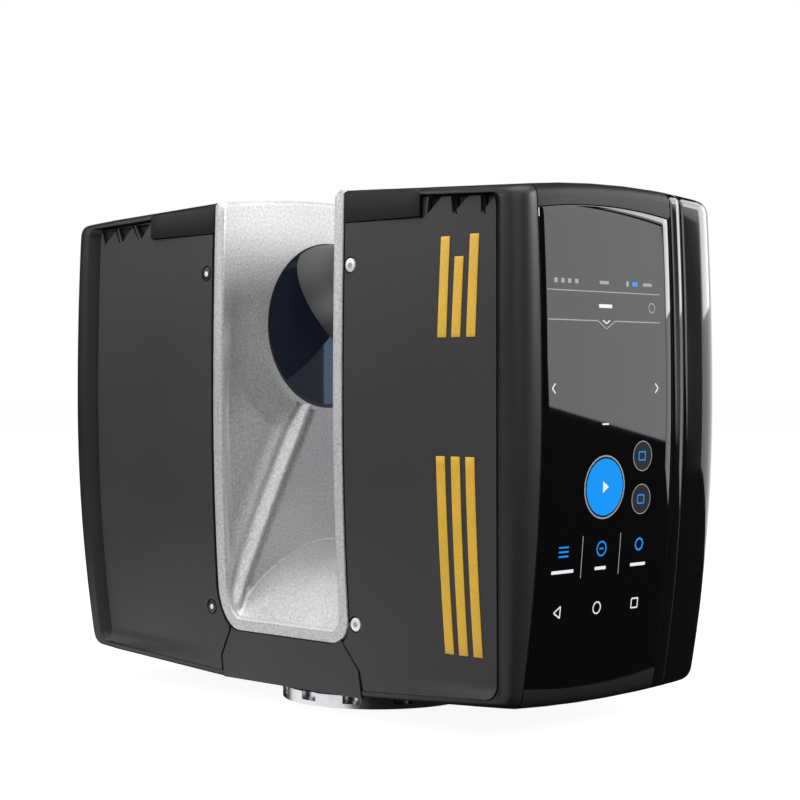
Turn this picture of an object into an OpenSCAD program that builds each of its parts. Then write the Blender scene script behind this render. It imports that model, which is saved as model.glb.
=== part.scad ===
/* [Body] */
// Overall width across the two towers
body_w = 230; // [228:1:234]
// Overall depth, front to rear
body_d = 103; // [102:0.5:105]
// Height of the roof crown above the standing face
body_h = 177; // [176:0.5:179]
// Thickness of the moulded shells
shell_t = 2.5; // [2.2:0.1:2.8]
// Radius of the vertical corners at the front
corner_front = 8; // [7:0.5:9]
// Radius of the vertical corners at the rear
corner_rear = 14; // [12:0.5:15]

/* [Channel] */
// Left edge of the cast channel
channel_l = -30; // [-31:0.5:-29.5]
// Right edge of the cast channel
channel_r = 35; // [34.5:0.5:36]
// Width of the cast lip beside the channel
lip_w = 4.6; // [4.2:0.1:4.8]
// Underside of the channel lip
channel_z = 25.2; // [25:0.1:25.6]
// Radius of the channel's lower corners
channel_corner = 10; // [8:0.5:11]
// Height of the raised middle of the channel floor
hill_z = 53.5; // [52:0.5:55]

/* [Mirror] */
// Height of the mirror axis
mirror_z = 132; // [131:0.5:133]
// Radius of the mirror holder
mirror_r = 29.7; // [28.5:0.1:29.9]
// Thickness of the mirror glass
mirror_t = 4; // [3:0.5:5]
// Radius of the mirror shaft
mirror_shaft_r = 6; // [5:0.5:6.5]

/* [Base] */
// Radius of the base ring
base_r = 34; // [33.5:0.1:34.2]
// Height of the base ring
base_h = 4.4; // [4:0.1:4.4]
// Wall radius of the 3/8 inch tripod thread
thread_r = 3.97; // [3.9:0.01:4]
// Depth of the tripod thread
thread_depth = 14; // [12:0.5:15]
// Teeth on the fixed azimuth gear
gear_teeth = 84; // [84:12:84]
// Teeth on the azimuth pinion
pinion_teeth = 12; // [12:1:12]
// Module of the azimuth gears
gear_module = 0.6; // [0.6:0.1:0.6]

/* [Battery door] */
// Lower edge of the door opening
door_z0 = 20; // [20:0.5:21]
// Height of the door's hinge axis
door_hinge_z = 74; // [74:0.5:75]
// Half width of the door opening
door_half = 36; // [35.5:0.5:37]
// Thickness of the door
door_t = 2.2; // [2:0.1:2.3]

/* [Hidden] */
$fn = 96;
big_fn = 1440;        // facets of the large shaping radii
far = 400;            // longer than anything it cuts
gap = 0.2;            // gap between neighbouring shells
run = 0.05;           // radial clearance of a running fit
half_w = body_w / 2;
half_d = body_d / 2;
z_mid = 105;          // height of the widest section
plan_over = 0.05;     // how far the corner rounding stands outside the widest section
side_r_low = 529;     // curve of the sides below z_mid
side_r_up = 1068;     // curve of the sides above z_mid
face_r_low = 940;     // curve of the front and rear below z_mid
face_r_up = 2136;     // curve of the front and rear above z_mid
roof_r = 416;         // crown of the roof, front to rear
roof_tilt = 2.4;      // fall of the roof towards the outer side
roof_fold = 30;       // distance from the middle where that fall starts
belly_r = 600;        // crown of the underside
belly_z = 6.4;        // lowest line of the underside
belly_tilt = 3.3;     // rise of the underside towards the outer side
belly_fold = 35;      // distance from the middle where that rise starts
cover_tilt = 2.2;     // how far the covers turn in towards the outer side
cover_t = 2.5;
cap_x = [channel_l - 36, channel_r + 34.5];
cap_z = 163.4;
rim_x = 103;          // inner edge of the shells' rims
floor_z = 29.6;       // channel floor at its front and rear edge
wall_l = channel_l - 7;
wall_r = channel_r + 7;
recess_x = 38.5;      // bottom of the mirror's recess in the right wall
mirror_x = 1.2;       // where the mirror face crosses the axis
tip_x = -24.6;        // blunt tip of the mirror holder
window_r = 28.6;      // round window in the left wall
window_x = -26.2;     // its outer face
pinion_y = (gear_teeth + pinion_teeth) * gear_module / 2;
screw_z = [32.4, 149.4];
screw_x = [channel_l - 4.2, channel_r + 3.5];
hinge_x = -112.5;
hinge_r = 1.6;
pin_r = 0.8;
button_y = -22;
button_z = 96;
button_r = 5;
glass_y = [-43.2, 18.7];
bezel_y = [-44.6, 20];
graphite = [0.17, 0.17, 0.18];
cast_silver = [0.72, 0.72, 0.73];
gloss_black = [0.03, 0.03, 0.03];
steel = [0.6, 0.6, 0.62];
board_green = [0.05, 0.25, 0.15];

// Depth of the front face at a height
function face_y(z) = half_d - pow(z - z_mid, 2) / (2 * (z < z_mid ? face_r_low : face_r_up));

// Outline with curved flanks: widest at z_mid. Each circle starts on the side that the cut leaves out
module barrel(half, r_low, r_up) {
    for (part = [[r_low, -20, z_mid + 20], [r_up, z_mid, 100]])
        intersection() {
            translate([half - part[0], z_mid]) rotate(180) circle(r = part[0], $fn = big_fn);
            translate([part[0] - half, z_mid]) circle(r = part[0], $fn = big_fn);
            translate([-half - 1, part[1]]) square([2 * half + 2, part[2]]);
        }
}

// Plan of the head, set in by i
module plan(i) {
    hx = half_w + plan_over - i;
    hy = half_d + plan_over - i;
    for (end = [[-1, corner_front - i / 2], [1, corner_rear - i / 2]]) {
        r = end[1];
        y0 = end[0] < 0 ? -hy : 0;
        translate([-(hx - r), y0]) square([2 * (hx - r), hy]);
        translate([-hx, end[0] < 0 ? r - hy : 0]) square([2 * hx, hy - r]);
        for (s = [-1, 1]) translate([s * (hx - r), end[0] * (hy - r)]) circle(r = r);
    }
}

// The head's outer form without roof and underside, set in by i
module envelope(i) {
    intersection() {
        linear_extrude(200) plan(i);
        rotate([90, 0, 0]) linear_extrude(far, center = true) barrel(half_w - i, side_r_low, side_r_up);
        rotate([90, 0, 90]) linear_extrude(far, center = true) barrel(half_d - i, face_r_low, face_r_up);
    }
}

module x_rod(r, x0, x1) translate([x0, 0, 0]) rotate([0, 90, 0]) cylinder(r = r, h = x1 - x0);
module on_axis() translate([0, 0, mirror_z]) children();
module slab(lo, hi) translate(lo) cube(hi - lo);

module roof(i) {
    translate([0, 0, body_h - i - roof_r]) rotate([0, 90, 0])
        cylinder(r = roof_r, h = far, center = true, $fn = big_fn);
}
module tilted_roof(side, i) {
    translate([side * roof_fold, 0, body_h - i - roof_r]) rotate([0, 90 + side * roof_tilt, 0])
        cylinder(r = roof_r, h = far, center = true, $fn = big_fn);
}
module tilted_belly(side, i) {
    translate([side * belly_fold, 0, belly_z + i + belly_r]) rotate([0, 90 - side * belly_tilt, 0])
        cylinder(r = belly_r, h = far, center = true, $fn = big_fn);
}

// One tower's outer form, set in by i
module tower(side, i) {
    inner = side < 0 ? channel_l - 0.3 : channel_r + 0.3;
    intersection() {
        envelope(i);
        roof(i);
        tilted_roof(side, i);
        tilted_belly(side, i);
        translate([side < 0 ? inner - 100 : inner, -60, 0]) cube([100, 120, 200]);
    }
}

// Outline of the cast channel seen from the front, grown by o
module channel_outline(o) {
    x0 = channel_l - o;
    x1 = channel_r + o;
    z0 = channel_z - o;
    r = channel_corner + o;
    translate([x0, z0 + r]) square([x1 - x0, 200]);
    translate([x0 + r, z0]) square([x1 - x0 - 2 * r, r + 1]);
    for (x = [x0 + r, x1 - r]) translate([x, z0 + r]) circle(r = r);
}
module through_y() rotate([90, 0, 0]) linear_extrude(far, center = true) children();
module through_x() rotate([90, 0, 90]) linear_extrude(far, center = true) children();

// Outline of the foot cover below the channel, grown by o
module foot_outline(o) {
    polygon([[-24.5 - o, 40], [-24.5 - o, 25], [-30 - o, 15.6], [-30 - o, 0],
        [39.5 + o, 0], [38.5 + o, 17], [31.5 + o, 26], [31.5 + o, 40]]);
}

// ---- base ----
module base_ring() color(steel) difference() {
    cylinder(r = base_r, h = base_h);
    translate([0, 0, -1]) cylinder(r = 10 + run, h = base_h + 2);
    for (a = [0:30:330]) rotate(a) translate([base_r, 0, 1.6]) cylinder(r = 3.4, h = base_h);
    for (a = [30:60:330]) rotate(a) translate([14, 0, -1]) {
        cylinder(r = 1.6, h = base_h + 2);
        cylinder(r = 3, h = 3.6);
    }
}
module azimuth_spindle() color(steel) difference() {
    union() {
        cylinder(r = 10, h = base_h + 1);
        translate([0, 0, base_h]) cylinder(r = 18, h = 4);
        translate([0, 0, base_h + 3]) cylinder(r = 14, h = 12.8);
    }
    translate([0, 0, -1]) cylinder(r = thread_r, h = thread_depth + 1);
    for (a = [30:60:330]) rotate(a) translate([14, 0, 3]) cylinder(r = 1.5, h = 5);
}
module spindle_nut() color(steel) translate([0, 0, base_h + 15.8]) difference() {
    cylinder(r = 17, h = 2.8);
    for (a = [0:90:270]) rotate(a) translate([13, 0, 1.6]) cylinder(r = 1.5, h = 2);
}
module azimuth_encoder_disc() color("lightblue") translate([0, 0, base_h + 18.7]) cylinder(r = 15.5, h = 0.8);
module base_screws() color("dimgray") for (a = [30:60:330]) rotate(a) translate([14, 0, 0]) {
    translate([0, 0, 0.4]) cylinder(r = 2.8, h = 2.1);
    translate([0, 0, 2]) cylinder(r = 1.45, h = 5.8);
}

// Ring of straight-flanked teeth
function tooth(n, m, a) = let (p = n * m / 2, w = 90 / n)
    [for (c = [[p - 1.15 * m, -w * 1.3], [p + 0.85 * m, -w * 0.45],
        [p + 0.85 * m, w * 0.45], [p - 1.15 * m, w * 1.3]])
        [c[0] * cos(a + c[1]), c[0] * sin(a + c[1])]];
module toothed(n, m, phase)
    polygon([for (k = [0:n - 1]) each tooth(n, m, phase + k * 360 / n)]);
module azimuth_gear() color("goldenrod") translate([0, 0, base_h + 0.3]) linear_extrude(3.4) difference() {
    toothed(gear_teeth, gear_module, 90);
    circle(r = 18.05);
}
module azimuth_pinion() color("goldenrod") translate([0, pinion_y, 0]) {
    translate([0, 0, base_h + 0.5]) linear_extrude(3)
        toothed(pinion_teeth, gear_module, -90 + 180 / pinion_teeth);
    translate([0, 0, base_h + 3]) cylinder(r = 1.5, h = 7);
}

// ---- rotating head: lower structure ----
module traverse() color(cast_silver) difference() {
    slab([channel_l + gap, -43.6, 9.5], [channel_r - gap, 43.6, channel_z - 0.1]);
    translate([0, 0, 9]) cylinder(r = 19 + run, h = 11);
    translate([0, 0, 19]) cylinder(r = 18.4, h = 10);
    translate([0, pinion_y, 9]) cylinder(r = 2.5, h = 4);
    translate([0, pinion_y, 10.5]) cylinder(r = 8.6, h = 20);
    for (x = [channel_l - 1, channel_r - 13], y = [-30, 30])
        translate([x, y, 18]) rotate([0, 90, 0]) cylinder(r = 2, h = 14);
}
module bearing_skirt() color(graphite) translate([0, 0, base_h + 0.3]) difference() {
    cylinder(r1 = 34.5, r2 = 38.5, h = 4.7);
    translate([0, 0, -1]) cylinder(r = 33.3, h = 7);
}
module bearing(r_in, r_out, h) {
    difference() {
        cylinder(r = r_out, h = h);
        translate([0, 0, -1]) cylinder(r = r_in, h = h + 2);
        for (z = [-0.1, h - 0.5]) translate([0, 0, z]) difference() {
            cylinder(r = r_in * 0.35 + r_out * 0.65, h = 0.6);
            translate([0, 0, -1]) cylinder(r = r_in * 0.65 + r_out * 0.35, h = 3);
        }
    }
}
module azimuth_bearing() color(steel) translate([0, 0, 9.6]) bearing(14 + run, 19, 9.3);
module azimuth_motor() color("dimgray") translate([0, pinion_y, 10.6]) difference() {
    cylinder(r = 8.5, h = 19);
    translate([0, 0, -1]) cylinder(r = 1.5 + run, h = 6);
}
module azimuth_encoder_reader() color(board_green) slab([-5, -23, channel_z + 0.1], [5, -9, channel_z + 2]);

// ---- rotating head: cast channel ----
module hill_outline(o) {
    polygon([[-60, channel_z], [-60, floor_z - o],
        for (y = [-48:12:48]) [y, floor_z + (hill_z - floor_z) * (1 - pow(y / 48.5, 2)) - o],
        [60, floor_z - o], [60, channel_z]]);
}
module channel_floor() color(cast_silver) difference() {
    intersection() {
        envelope(0);
        rotate([90, 0, 90]) translate([0, 0, channel_l + lip_w])
            linear_extrude(channel_r - channel_l - 2 * lip_w) hill_outline(0);
        through_y() channel_outline(0);
    }
    intersection() {
        rotate([90, 0, 90]) translate([0, 0, channel_l + 9]) linear_extrude(channel_r - channel_l - 18)
            translate([0, -1]) hill_outline(3.6);
        slab([-60, -40, 0], [60, 40, 100]);
    }
}
module wall_blank(x0, x1, i) intersection() {
    envelope(i);
    roof(i);
    slab([x0, -60, i > 0 ? 12 : channel_z], [x1, 60, 200]);
}
module left_wall() color(cast_silver) difference() {
    union() {
        intersection() {
            wall_blank(channel_l, channel_l + lip_w, 0);
            through_y() channel_outline(0);
        }
        wall_blank(wall_l, channel_l, 2.8);
    }
    on_axis() x_rod(window_r + 1.5, window_x - 3.3, 0);
    on_axis() x_rod(24, wall_l - 1, 0);
    for (s = [-1, 1]) scale([1, s, 1]) translate([channel_l + lip_w - 5, 0, 0]) rotate([90, 0, 90])
        linear_extrude(6) difference() {
            polygon([[-46.5, 38], [-18, 92], [-20, 125], [-46.5, 125]]);
            translate([0, mirror_z]) circle(r = window_r + 4);
        }
    wall_holes(-1);
}
module right_wall() color(cast_silver) difference() {
    union() {
        intersection() {
            wall_blank(channel_r - lip_w, channel_r, 0);
            through_y() channel_outline(0);
        }
        wall_blank(channel_r, wall_r, 2.8);
    }
    on_axis() x_rod(mirror_r + 1.3, 0, recess_x);
    on_axis() x_rod(13 + run, recess_x - 1, wall_r + 1);
    wall_holes(1);
}
// Holes for the traverse bolts and the cover screws
module wall_holes(side) {
    x0 = side < 0 ? wall_l - 1 : channel_r - 1;
    for (y = [-30, 30]) translate([x0, y, 18]) rotate([0, 90, 0]) cylinder(r = 2, h = 9);
    for (z = screw_z) translate([screw_x[side < 0 ? 0 : 1], 0, z]) rotate([90, 0, 0])
        for (s = [-1, 1]) translate([0, 0, s * 40]) cylinder(r = 1.25, h = 24, center = true);
}
module traverse_bolts() color(steel) for (side = [-1, 1], y = [-30, 30])
    translate([side < 0 ? wall_l : wall_r, y, 18]) rotate([0, side < 0 ? 90 : -90, 0]) {
        cylinder(r = 1.95, h = 17);
        translate([0, 0, -3]) cylinder(r = 3.5, h = 3);
    }
module channel_seal(s) intersection() {
    difference() {
        through_y() channel_outline(0.27);
        through_y() channel_outline(0.02);
    }
    difference() {
        envelope(0.4);
        envelope(2.6);
    }
    roof(0.4);
    translate([0, s * 50, 0]) cube([200, 60, 340], center = true);
}
module channel_seals() color("black") for (s = [-1, 1]) channel_seal(s);

// ---- shells ----
// Opening that the covers close, as a prism through front and rear
module cover_opening(side, o) through_y() scale([side, 1])
    polygon([[28, 10.9 - o], [28, 170.8 + o], [rim_x + o, 167.6 + o], [rim_x + o, 15.5 - o]]);
module shell_blank(side) difference() {
    tower(side, 0);
    tower(side, shell_t);
    for (s = [-1, 1]) intersection() {
        cover_opening(side, 0);
        translate([0, s * 60, 100]) cube([300, 70, 300], center = true);
    }
    translate([0, 0, -1]) cylinder(r = 40, h = 30);
    cap_zone(side, gap);
    foot_zone(gap);
    slab([wall_l - 0.3, -48.9, 11.7], [wall_r + 0.3, 48.9, 180]);
}
module cap_zone(side, o) {
    x = cap_x[side < 0 ? 0 : 1];
    translate([side < 0 ? x - o : 0, -60, cap_z - o]) cube([side < 0 ? -x + o : x + o, 120, 60]);
}
module foot_zone(o) through_y() foot_outline(o);
module left_shell() color(graphite) difference() {
    shell_blank(-1);
    slab([-120, -door_half, door_z0], [-100, door_half, door_hinge_z + 2.2]);
    for (s = [-1, 1]) translate([hinge_x, s * (door_half + 1), door_hinge_z]) rotate([90, 0, 0])
        cylinder(r = pin_r + 0.02, h = 4.4, center = true);
    translate([-120, button_y, button_z]) rotate([0, 90, 0]) cylinder(r = button_r + gap, h = 20);
}
module right_shell() color(graphite) difference() {
    shell_blank(1);
    slab([103.8, bezel_y[0] - gap, 0], [120, 60, 200]);
}
module cap(side) intersection() {
    difference() {
        tower(side, 0);
        tower(side, shell_t);
    }
    cap_zone(side, 0);
}
module left_cap() color([0.13, 0.13, 0.14]) cap(-1);
module right_cap() color([0.13, 0.13, 0.14]) cap(1);

// Flanks of the head turned in around the channel's edge
module turned_face(side, s, i) {
    x = side < 0 ? channel_l : channel_r;
    translate([x, s * half_d, 0]) rotate(-side * s * cover_tilt) translate([-x, -s * half_d, 0])
        rotate([90, 0, 90]) linear_extrude(far, center = true) barrel(half_d - i, face_r_low, face_r_up);
}
module cover(side, s) intersection() {
    difference() {
        turned_face(side, s, 0);
        turned_face(side, s, cover_t);
        through_y() channel_outline(0.3);
        cap_zone(side, gap);
        foot_zone(gap);
        for (z = screw_z) translate([screw_x[side < 0 ? 0 : 1], 0, z]) rotate([90, 0, 0])
            cylinder(r = 1.5, h = far, center = true);
    }
    cover_opening(side, -0.3);
    translate([side * 100, s * 50, 100]) cube([200, 60, 300], center = true);
}
module left_front_cover() color(graphite) cover(-1, -1);
module left_rear_cover() color(graphite) cover(-1, 1);
module right_front_cover() color(graphite) cover(1, -1);
module right_rear_cover() color(graphite) cover(1, 1);
module foot_cover(s) intersection() {
    difference() {
        envelope(0);
        envelope(shell_t);
        through_y() channel_outline(0.3);
    }
    foot_zone(0);
    translate([0, s * 60, 0]) cube([200, 60, 100], center = true);
    slab([-60, -60, 8], [60, 60, 60]);
}
module front_foot_cover() color(graphite) foot_cover(-1);
module rear_foot_cover() color(graphite) foot_cover(1);
module cover_screws() color("silver") for (s = [-1, 1], x = screw_x, z = screw_z)
    translate([x, s * (face_y(z) + 0.02), z]) rotate([s * 90, 0, 0]) {
        translate([0, 0, -0.8]) difference() {
            cylinder(r = 2.1, h = 0.8);
            translate([0, 0, -1]) cylinder(r = 1, h = 1.5, $fn = 6);
        }
        translate([0, 0, -0.1]) cylinder(r = 1.2, h = 9);
    }

// ---- display side ----
module glass_outline(o) intersection() {
    translate([glass_y[0] - o, 10]) square([glass_y[1] - glass_y[0] + 2 * o, 170]);
    translate([-12.3, 166.1 + o - 240]) circle(r = 240, $fn = 720);
    translate([-12.3, 16.6 - o + 240]) circle(r = 240, $fn = 720);
}
module display_bezel() color([0.25, 0.25, 0.26]) difference() {
    intersection() {
        difference() {
            tower(1, 0);
            tower(1, shell_t);
        }
        slab([104, bezel_y[0], 0], [120, bezel_y[1], 200]);
    }
    intersection() {
        through_x() glass_outline(0.15);
        slab([100, -60, 0], [120, 60, 200]);
    }
}
module display_glass() color("black") intersection() {
    difference() {
        envelope(0.25);
        envelope(1.75);
    }
    through_x() glass_outline(0);
    slab([100, -60, 0], [120, 60, 200]);
}
module display_module() color("dimgray") slab([103.2, -38, 40], [107.6, 14, 160]);
module side_trim() color(gloss_black) intersection() {
    difference() {
        tower(1, 0);
        tower(1, shell_t);
    }
    slab([104, bezel_y[1] + gap, 0], [120, 60, 200]);
}

// ---- optics in the left tower ----
module exit_window() color([0.05, 0.07, 0.2]) on_axis() x_rod(window_r, window_x - 3.2, window_x);
module window_ring() color("dimgray") on_axis() difference() {
    x_rod(window_r + 1.4, window_x - 3.2, window_x + 0.3);
    x_rod(window_r + 0.05, window_x - 4, 0);
}
module lens_barrel() color("dimgray") on_axis() difference() {
    union() {
        x_rod(20, -71, wall_l - 0.1);
        x_rod(26, wall_l - 3, wall_l - 0.1);
    }
    x_rod(17.5, -67, 0);
    x_rod(9, -75, -65);
}
module objective_lens() color("lightblue") on_axis() rotate([0, 180, 0]) intersection() {
    x_rod(17.45, 35, 65);
    translate([91, 0, 0]) sphere(r = 46, $fn = 288);
    translate([7, 0, 0]) sphere(r = 46, $fn = 288);
}
module laser_module() color("goldenrod") on_axis() union() {
    x_rod(8.9, -71.2, -67.5);
    x_rod(12, -91, -71.2);
}
module detector_board() color(board_green) slab([-92.8, -22, mirror_z - 22], [-91.2, 22, mirror_z + 22]);
module camera_module() color("dimgray") slab([-63, -11, mirror_z + 20.5], [-45, 11, mirror_z + 34]);

// ---- boards in the right tower ----
module main_board() color(board_green) {
    slab([92, -38, 20], [93.6, 36, 102]);
    slab([90, -14, 60], [92, 14, 88]);
    slab([89, -32, 30], [92, -18, 50]);
    slab([86, 6, 24], [92, 30, 44]);
}
module power_board() color(board_green) {
    slab([52, -36, 20], [53.6, 36, 98]);
    for (y = [-28:14:28]) translate([53.6, y, 40]) rotate([0, 90, 0]) cylinder(r = 5, h = 14);
    slab([53.6, -24, 60], [62, 24, 84]);
}
module antenna_board() color(board_green) slab([78, -18, 165], [98, 18, 166.2]);

// ---- mirror drive in the right tower ----
module mirror_motor_housing() color("dimgray") on_axis() difference() {
    union() {
        x_rod(26, wall_r + 0.1, 85);
        x_rod(13, recess_x + 0.3, wall_r + 1);
    }
    x_rod(11 + run, 35, 86);
    x_rod(24.4, 50, 75);
}
module mirror_bearings() color(steel) for (x = [47, 84]) on_axis() translate([x, 0, 0])
    rotate([0, -90, 0]) bearing(mirror_shaft_r + run, 11, 7);
module motor_stator() color("chocolate") on_axis() difference() {
    x_rod(24.3, 54, 71);
    x_rod(17, 53, 72);
    for (a = [0:30:330]) rotate([a, 0, 0]) translate([52, -1, 16]) cube([20, 2, 5]);
}
module motor_magnets() color("gray") on_axis() difference() {
    x_rod(16.4, 55, 70);
    x_rod(mirror_shaft_r, 54, 71);
}
module mirror_shaft() color(steel) on_axis() x_rod(mirror_shaft_r, recess_x - 0.6, 95);
module mirror_encoder_disc() color("lightblue") on_axis() difference() {
    x_rod(18, 90, 91);
    x_rod(mirror_shaft_r, 89, 92);
}
module mirror_encoder_reader() color(board_green) on_axis() difference() {
    slab([86, -8, 12], [95, 8, 22]);
    slab([89, -9, 11], [92, 9, 18.4]);
}
// Half-space behind the mirror plane, moved back by d. The plane looks down to the left
module behind_mirror(d) translate([mirror_x + d * sqrt(2), 0, 0]) rotate([0, 45, 0])
    translate([-200, -100, 0]) cube([400, 200, 200]);
module mirror_holder() color([0.06, 0.06, 0.06]) on_axis() difference() {
    intersection() {
        x_rod(mirror_r, tip_x, recess_x - 0.6);
        behind_mirror(0);
    }
    difference() {
        x_rod(mirror_r - 1.5, tip_x + 1.2, 60);
        behind_mirror(mirror_t);
    }
    x_rod(7, -40, recess_x - 8);
}
module mirror_glass() color([0.05, 0.07, 0.2]) on_axis() intersection() {
    x_rod(mirror_r - 1.6, tip_x + 1.3, 60);
    difference() {
        behind_mirror(0.1);
        behind_mirror(mirror_t - 0.05);
    }
}

// ---- battery side ----
module battery_bay() color("dimgray") difference() {
    slab([-106.4, -35, 30], [-46, 35, 62]);
    slab([-110, -33.4, 31.6], [-47.5, 33.4, 60.4]);
}
module battery() color([0.2, 0.2, 0.2]) slab([-106, -33, 32], [-48.4, 33, 60]);
module battery_door() color(graphite) difference() {
    union() {
        intersection() {
            difference() {
                tower(-1, 0);
                tower(-1, door_t);
            }
            slab([-120, -door_half + 0.4, door_z0 + 0.4], [-100, door_half - 0.4, door_hinge_z - 0.3]);
        }
        translate([hinge_x, 0, door_hinge_z]) rotate([90, 0, 0])
            cylinder(r = hinge_r, h = 2 * door_half - 0.8, center = true);
    }
    translate([hinge_x, 0, door_hinge_z]) rotate([90, 0, 0])
        cylinder(r = pin_r + run, h = far, center = true);
    translate([-120, 0, 25.4]) rotate([0, 90, 0]) cylinder(r = 3.35, h = 20);
}
module door_hinge_pin() color(steel) translate([hinge_x, 0, door_hinge_z]) rotate([90, 0, 0])
    cylinder(r = pin_r, h = 2 * door_half + 5.4, center = true);
module door_latch() color("dimgray") translate([0, 0, 25.4]) x_rod(3.2, -109, -105.4);
module card_reader() color("silver") difference() {
    slab([-104, -14.5, 64], [-70, 14.5, 68.6]);
    slab([-106, -12.2, 65.2], [-71.5, 12.2, 67.7]);
}
module memory_card() color("navy") slab([-105, -12, 65.4], [-73, 12, 67.5]);
module power_button() color("silver") translate([0, button_y, button_z]) {
    x_rod(button_r, -114.6, -111);
    x_rod(button_r + 1, -112.1, -110.6);
    x_rod(2, -111, -109);
}
module button_board() color(board_green) slab([-107.9, button_y - 8, button_z - 8],
    [-106.5, button_y + 8, button_z + 8]);

base_ring();
azimuth_spindle();
spindle_nut();
azimuth_gear();
azimuth_encoder_disc();
base_screws();
traverse();
bearing_skirt();
azimuth_bearing();
azimuth_motor();
azimuth_encoder_reader();
azimuth_pinion();
channel_floor();
left_wall();
right_wall();
traverse_bolts();
channel_seals();
left_shell();
right_shell();
left_cap();
right_cap();
left_front_cover();
left_rear_cover();
right_front_cover();
right_rear_cover();
front_foot_cover();
rear_foot_cover();
cover_screws();
display_bezel();
display_glass();
display_module();
side_trim();
exit_window();
window_ring();
lens_barrel();
objective_lens();
laser_module();
detector_board();
camera_module();
main_board();
power_board();
antenna_board();
mirror_motor_housing();
mirror_bearings();
motor_stator();
mirror_encoder_reader();
mirror_holder();
mirror_glass();
mirror_shaft();
motor_magnets();
mirror_encoder_disc();
battery_bay();
battery();
battery_door();
door_hinge_pin();
door_latch();
card_reader();
memory_card();
power_button();
button_board();
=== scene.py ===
"""Looks of a terrestrial laser scanner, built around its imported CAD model. Lengths are in millimetres."""

import math

import bmesh
import bpy
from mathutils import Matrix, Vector


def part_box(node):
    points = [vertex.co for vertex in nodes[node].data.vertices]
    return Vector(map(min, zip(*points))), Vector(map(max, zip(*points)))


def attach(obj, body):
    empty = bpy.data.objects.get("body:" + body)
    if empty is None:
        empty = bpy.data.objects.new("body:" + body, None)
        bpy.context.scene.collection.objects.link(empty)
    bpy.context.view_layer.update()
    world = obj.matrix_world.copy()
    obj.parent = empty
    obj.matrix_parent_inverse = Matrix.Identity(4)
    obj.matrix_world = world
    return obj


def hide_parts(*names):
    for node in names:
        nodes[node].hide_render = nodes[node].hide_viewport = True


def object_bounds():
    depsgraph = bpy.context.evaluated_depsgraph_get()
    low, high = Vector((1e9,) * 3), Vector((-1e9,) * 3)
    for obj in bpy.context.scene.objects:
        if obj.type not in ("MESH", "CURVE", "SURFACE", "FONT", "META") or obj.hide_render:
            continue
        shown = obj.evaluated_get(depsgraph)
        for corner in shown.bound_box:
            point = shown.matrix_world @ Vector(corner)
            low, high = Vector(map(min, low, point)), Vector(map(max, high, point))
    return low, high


MM = 0.001
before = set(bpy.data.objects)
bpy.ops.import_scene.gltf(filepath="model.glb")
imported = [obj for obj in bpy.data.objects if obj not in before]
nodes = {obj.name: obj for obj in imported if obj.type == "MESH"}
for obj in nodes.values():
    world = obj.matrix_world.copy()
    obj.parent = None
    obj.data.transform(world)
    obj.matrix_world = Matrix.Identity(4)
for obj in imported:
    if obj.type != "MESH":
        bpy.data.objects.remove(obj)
cad_low, cad_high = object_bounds()

# ---- driving dimensions, from the frame ----
HALF_W, HALF_D, BODY_H = cad_high.x / MM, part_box("left_wall")[1].y / MM, cad_high.z / MM
LIP = 4.6                     # width of the cast lip
WALL_X = {-1: -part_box("left_wall")[1].x / MM, 1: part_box("right_wall")[0].x / MM}
CHANNEL = {side: WALL_X[side] + LIP for side in (-1, 1)}
CHANNEL_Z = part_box("channel_floor")[0].z / MM
MIRROR_Z = sum(p.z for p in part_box("mirror_motor_housing")) / 2 / MM
CAP_EDGE = {-1: -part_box("left_cap")[0].x / MM, 1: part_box("right_cap")[1].x / MM}
CAP_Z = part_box("left_cap")[0].z / MM
Z_MID = 105                   # height of the widest section
SIDE_R, FACE_R = (529, 1068), (940, 2136)     # curves of sides and faces, below and above it
ROOF_R, BELLY_R = 416, 600    # crowns of roof and underside
BELLY_Z = 6.4
ROOF_FLAT, BELLY_FLAT = 30, 35        # distances from the middle where the slopes begin
ROOF_FALL, BELLY_RISE, COVER_TURN = (math.tan(math.radians(a)) for a in (2.4, 3.3, 2.2))
SHELL_T = 2.2
SIDE_NAME = {-1: "left", 1: "right"}
END_NAME = {-1: "front", 1: "rear"}
SEAM = 0.35                   # gap between neighbouring mouldings
FOLD_Z = (12.3, 18.7)         # where the covers run out to the lower edge
SEAM_Y = -45.0                # where the right shell's front part ends, beside the display
GLASS_Y = (-44.3, 19.7)
GLASS_ARC_R, GLASS_ARC_Y = 240, -12.3
GLASS_TOP, GLASS_BOTTOM = 166.1, 16.6
GLASS_DEPTH, MARK_T = 0.2, 0.02       # how deep the glass lies, and the screen marks' thickness


# ---- small helpers ----
def mix(a, b, f):
    return a + (b - a) * f


def smooth(low, high, value):
    t = min(1.0, max(0.0, (value - low) / (high - low)))
    return t * t * (3 - 2 * t)


def spread(low, high, count):
    return [mix(low, high, i / (count - 1)) for i in range(count)]


def sagitta(radius, offset):
    return radius - math.sqrt(radius * radius - offset * offset)


# ---- outer form of the head ----
def side_x(z):
    """Half width of the head at a height."""
    return HALF_W - sagitta(SIDE_R[z >= Z_MID], z - Z_MID)


def face_y(z):
    """Half depth of the head at a height."""
    return HALF_D - sagitta(FACE_R[z >= Z_MID], z - Z_MID)


def roof_z(u, y):
    return BODY_H - sagitta(ROOF_R, y) - max(0, u - ROOF_FLAT) * ROOF_FALL


def belly_z(u, y):
    return BELLY_Z + sagitta(BELLY_R, y) + (u - BELLY_FLAT) * BELLY_RISE


def recess(u, z, side):
    """How far a cover lies behind the face, growing towards the outer side."""
    return max(0, u - CHANNEL[side]) * COVER_TURN * smooth(*FOLD_Z, z)


# ---- meshes ----
MERGE, DEGENERATE = 0.02 * MM, 0.005 * MM     # points and edges closer or shorter than this are joined


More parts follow.
